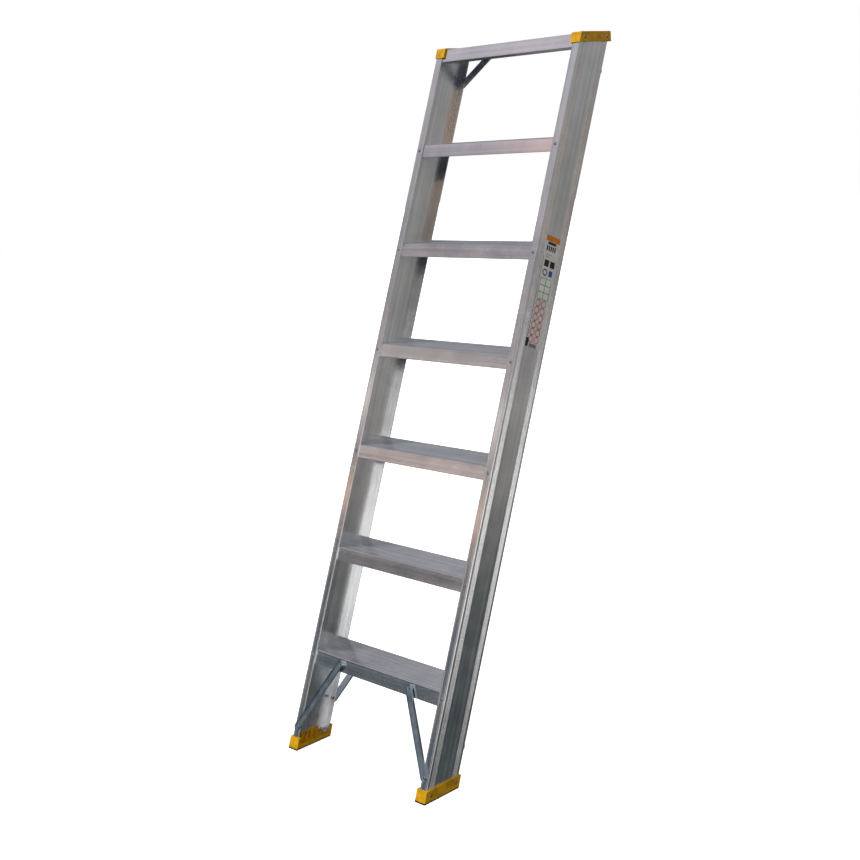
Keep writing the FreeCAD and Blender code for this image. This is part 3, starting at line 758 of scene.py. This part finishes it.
cap_places = [stand(Vector((cap_high.x, level_y(CAP_RIVET_Z, 0) + behind, CAP_RIVET_Z)), OUTWARDS)
              for behind in (16 * MM, 111 * MM)]
for name, places in (("front", front_places), ("rear", rear_places)):
    rivet_row(f"{name}_row", flange_rivet, places, rivet_aluminium, f"{name}_rivets")
for name, kind, places, node_name in (("strut", flange_rivet, brace_places, "brace"),
                                      ("boot", small_rivet, foot_places, "foot"),
                                      ("crown", small_rivet, cap_places, "cap")):
    rivet_row(f"{name}_rivets", kind, places, rivet_steel, f"{node_name}_rivets")
for template in (flange_rivet, small_rivet):
    bpy.data.objects.remove(template)

# %% [markdown]
# ## Feet, soles and caps
# The feet and caps are moulded boxes with thin walls that follow the lean. They are built
# from blocks: a cube is set to size, and the top face's two edges are slid back so that the
# block leans. Blocks are joined and cut from each other, and then every edge is rounded a
# little, as a mould leaves it. A foot is a tray with posts beside the stile, a lip, and a
# ribbed liner against the web. The sole is a grooved rubber pad.

# %% Leaning blocks
SAME_PLACE = 1e-6


def block(x, low_ys, high_ys, z):
    """Block over an x and a z range, from its front and back y at the bottom to its top ones."""
    bpy.ops.object.select_all(action="DESELECT")
    middle = Vector((sum(x) / 2, sum(low_ys) / 2, sum(z) / 2))
    size = (x[1] - x[0], low_ys[1] - low_ys[0], z[1] - z[0])
    bpy.ops.mesh.primitive_cube_add(size=1, location=middle, scale=size)
    made = settle(bpy.context.object, Matrix.Identity(4))
    bpy.ops.object.mode_set(mode="EDIT")
    for end in (0, 1):
        pick("verts", lambda v: v.co.z > middle.z and abs(v.co.y - low_ys[end]) < SAME_PLACE)
        bpy.ops.transform.translate(value=(0, high_ys[end] - low_ys[end], 0))
    bpy.ops.object.mode_set(mode="OBJECT")
    return made


def leaning(x, depths, z):
    """Block between two depths behind the stiles' front faces, so that it follows their lean."""
    return block(x, [level_y(z[0], d) for d in depths], [level_y(z[1], d) for d in depths], z)


# %% Mould a foot and cut its sole
foot_low = Vector(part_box("foot_right")[0])
IN_X, OUT_X = foot_low.x, foot_high.x
MOULD_WALL, LINER_TOP, POST_DEPTH = 2.5 * MM, 31 * MM, 4.5 * MM
foot_depths = (-MOULD_WALL, DEPTH + MOULD_WALL)
floor_z, rim_z, sole_z = stile_low.z, foot_high.z, foot_low.z
boot = leaning((IN_X, OUT_X), foot_depths, (sole_z, rim_z))
hollow = leaning((IN_X - MM, SIDE), (0, DEPTH), (floor_z, rim_z + 5 * MM))
combine(boot, hollow, "DIFFERENCE")
liner_x, post_x = SIDE - WEB - 4 * MM, TIP - .1 * MM
for x, depths, high_z in (((IN_X, post_x), (foot_depths[0], POST_DEPTH), rim_z),
                          ((IN_X, post_x), (DEPTH - POST_DEPTH, foot_depths[1]), rim_z),
                          ((IN_X, IN_X + MOULD_WALL), foot_depths, floor_z + MOULD_WALL),
                          ((liner_x, SIDE - WEB), (FLANGE, 82 * MM), LINER_TOP)):
    combine(boot, leaning(x, depths, (floor_z - MM, high_z)), "UNION")
for rib in range(4):
    middle = (28.5 + 16 * rib) * MM
    rib_block = leaning((liner_x - 6 * MM, liner_x + MM), (middle - 5 * MM, middle + 5 * MM),
                        (floor_z - MM, LINER_TOP))
    combine(boot, rib_block, "UNION")
for place in foot_places:
    bpy.ops.object.select_all(action="DESELECT")
    bpy.ops.mesh.primitive_cylinder_add(vertices=32, radius=5.5 * MM, depth=4 * MM,
                                        rotation=(0, math.pi / 2, 0),
                                        location=place.translation + Vector((2 * MM, 0, 0)))
    combine(boot, bpy.context.object, "DIFFERENCE")
soften(boot, .7 * MM)
pad = leaning((IN_X, OUT_X), foot_depths, (0, sole_z))
first = level_y(0, foot_depths[0]) + 8 * MM
groove_ys = (first, first + 3 * MM)
groove = block((IN_X - MM, OUT_X + MM), groove_ys, groove_ys, (-MM, 1.5 * MM))
change(groove, "ARRAY", count=10, use_relative_offset=False, use_constant_offset=True,
       constant_offset_displace=(0, 12 * MM, 0))
combine(pad, groove, "DIFFERENCE")
soften(pad, .3 * MM)
for side, flip in (("right", None), ("left", MIRROR)):
    hand_over(copied(boot, "boot", flip), f"boot_{side}", yellow, [f"foot_{side}"])
    hand_over(copied(pad, "pad", flip), f"tread_pad_{side}", rubber, [f"foot_sole_{side}"])
for template in (boot, pad):
    bpy.data.objects.remove(template)

# %% Mould a cap with its ridged top
cap_low = Vector(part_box("top_cap_right")[0])
CAP_X = (IN_X, cap_high.x)
low_z, top_z, plate_z = cap_low.z, stile_high.z, cap_high.z - MM
back_y = cap_high.y
RIDGE_PITCH, RIDGE_WIDE = 6 * MM, 3 * MM


def to_back(x, z):
    """Block from the leaning front wall to the upright back."""
    return block(x, (level_y(z[0], -MOULD_WALL), back_y), (level_y(z[1], -MOULD_WALL), back_y), z)


below_top = (low_z, top_z + MM)
back_wall = (back_y - MOULD_WALL, back_y)
crown = to_back(CAP_X, (top_z, plate_z))
for part in (to_back((SIDE, CAP_X[1]), below_top),
             leaning(CAP_X, (-MOULD_WALL, 0), below_top),
             leaning((IN_X, TIP - .1 * MM), (-MOULD_WALL, FLANGE), below_top),
             block(CAP_X, back_wall, back_wall, below_top)):
    combine(crown, part, "UNION")
cap_front = level_y(plate_z, -MOULD_WALL)
ridges = int((back_y - cap_front) / RIDGE_PITCH)
first = (cap_front + back_y - (ridges - 1) * RIDGE_PITCH - RIDGE_WIDE) / 2
ridge = block(CAP_X, (first, first + RIDGE_WIDE), (first + .4 * MM, first + 2.6 * MM),
              (plate_z - .3 * MM, cap_high.z))
change(ridge, "ARRAY", count=ridges, use_relative_offset=False, use_constant_offset=True,
       constant_offset_displace=(0, RIDGE_PITCH, 0))
combine(crown, ridge, "UNION")
soften(crown, .5 * MM)
for side, flip in (("right", None), ("left", MIRROR)):
    hand_over(copied(crown, "crown", flip), f"crown_{side}", yellow, [f"top_cap_{side}"])
bpy.data.objects.remove(crown)

# %% [markdown]
# ## Label
# A long film on the right stile's web carries generic instruction marks: an orange
# heading, dark tiles, a blue ring, green-framed panels and rows of red rings, with no
# lettering. Each ink is one piece, a hair thicker than the film. A mark is a flat block
# with its four corners rounded, laid out in the upright frame and leaned with the stile.

# %% Lay out the film and its inks
film_low, film_high = (Vector(corner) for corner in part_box("label_right"))
film_x = (SIDE - .05 * MM, film_high.x - .12 * MM)
ink_x = (film_x[1] - .05 * MM, film_high.x)
film_depths = (27 * MM, 85 * MM)
film_ends = (along(film_low.z, film_depths[1]), along(film_high.z, film_depths[0]))
FRONT_TILE, REAR_TILE = (38, 57), (62, 81)


def mark(depths, ends, x, corner):
    """Rounded flat block between two depths and two lengths up from the film's low end, in mm."""
    bpy.ops.object.select_all(action="DESELECT")
    low = Vector((x[0], depths[0] * MM, film_ends[0] + ends[0] * MM))
    high = Vector((x[1], depths[1] * MM, film_ends[0] + ends[1] * MM))
    bpy.ops.mesh.primitive_cube_add(size=1, location=(low + high) / 2, scale=high - low)
    made = settle(bpy.context.object, Matrix.Identity(4))
    bpy.ops.object.mode_set(mode="EDIT")
    pick("edges", lambda e: abs(e.verts[0].co.x - e.verts[1].co.x) > SAME_PLACE)
    bpy.ops.mesh.bevel(offset=corner * MM, segments=3, affect="EDGES")
    bpy.ops.object.mode_set(mode="OBJECT")
    return settle(made, LEAN_BACK)


def ring(depth, end, radius, line):
    """Flat printed ring on the film, all sizes in mm."""
    bpy.ops.object.select_all(action="DESELECT")
    place = Vector((ink_x[1] - .03 * MM, depth * MM, film_ends[0] + end * MM))
    bpy.ops.mesh.primitive_torus_add(major_radius=radius * MM, minor_radius=line / 2 * MM,
                                     major_segments=28, minor_segments=6, location=place,
                                     rotation=(0, math.pi / 2, 0))
    made = settle(bpy.context.object, Matrix.Identity(4))
    bpy.ops.object.mode_set(mode="EDIT")
    bpy.ops.mesh.select_all(action="SELECT")
    bpy.ops.transform.resize(value=(.04 / line, 1, 1), center_override=place)
    bpy.ops.object.mode_set(mode="OBJECT")
    return settle(made, LEAN_BACK)


length = (film_ends[1] - film_ends[0]) / MM
over_x = (ink_x[0], ink_x[1] + .05 * MM)
inks = {
    "orange": ("d07a2c", [mark((27.5, 84.5), (293, 309), ink_x, 2)]),
    "black": ("20242a", [mark((38, 72), (284.5, 291.5), ink_x, 3),
                         mark((27.2, 38), (1, 25), ink_x, 1),
                         mark((29.5, 31), (27, 250), ink_x, .5)]
              + [mark((36 + 8 * bar, 41 + 8 * bar), (267, 281), ink_x, 1) for bar in range(5)]
              + [mark(tile, (224, 242), ink_x, 1.5) for tile in (FRONT_TILE, REAR_TILE)]),
    "blue": ("33508f", [ring(48, 208, 8, 3.5), mark((64, 78), (200, 216), ink_x, 1.5)]),
    "green": ("6f9a80", [mark((36, 82), (134, 192), ink_x, 1.5)]),
    "white": ("dcdbd6", [mark(column, (136 + 19 * row, 152.5 + 19 * row), over_x, 1)
                         for row in range(3) for column in ((38, 57.5), (60.5, 80))]),
    "red": ("bd4248", [ring(depth, 23 + 20 * row, 8.8, 2.4)
                       for row in range(6) for depth in (45.5, 68)]),
    "grey": ("74777a", [mark((42, 72), (1, 11), ink_x, 1),
                        mark((38, 62), (256, 257.5), ink_x, .5),
                        mark((38, 54), (250, 251.5), ink_x, .5)]),
}
sheet = mark((27, 85), (0, length), film_x, 4)
hand_over(sheet, "label_film", film, ["label_right"])
for ink, (code, marks) in inks.items():
    ink_colours = (srgb(code), tuple(min(1, c * 1.25) for c in srgb(code)))
    printed = moulded(f"printed_{ink}_ink", ink_colours, (.25, .4), 2 * MM, .05)
    hand_over(gathered(marks), f"label_{ink}_ink", printed, [])
print("label of", round(length), "mm printed in", len(inks), "inks")
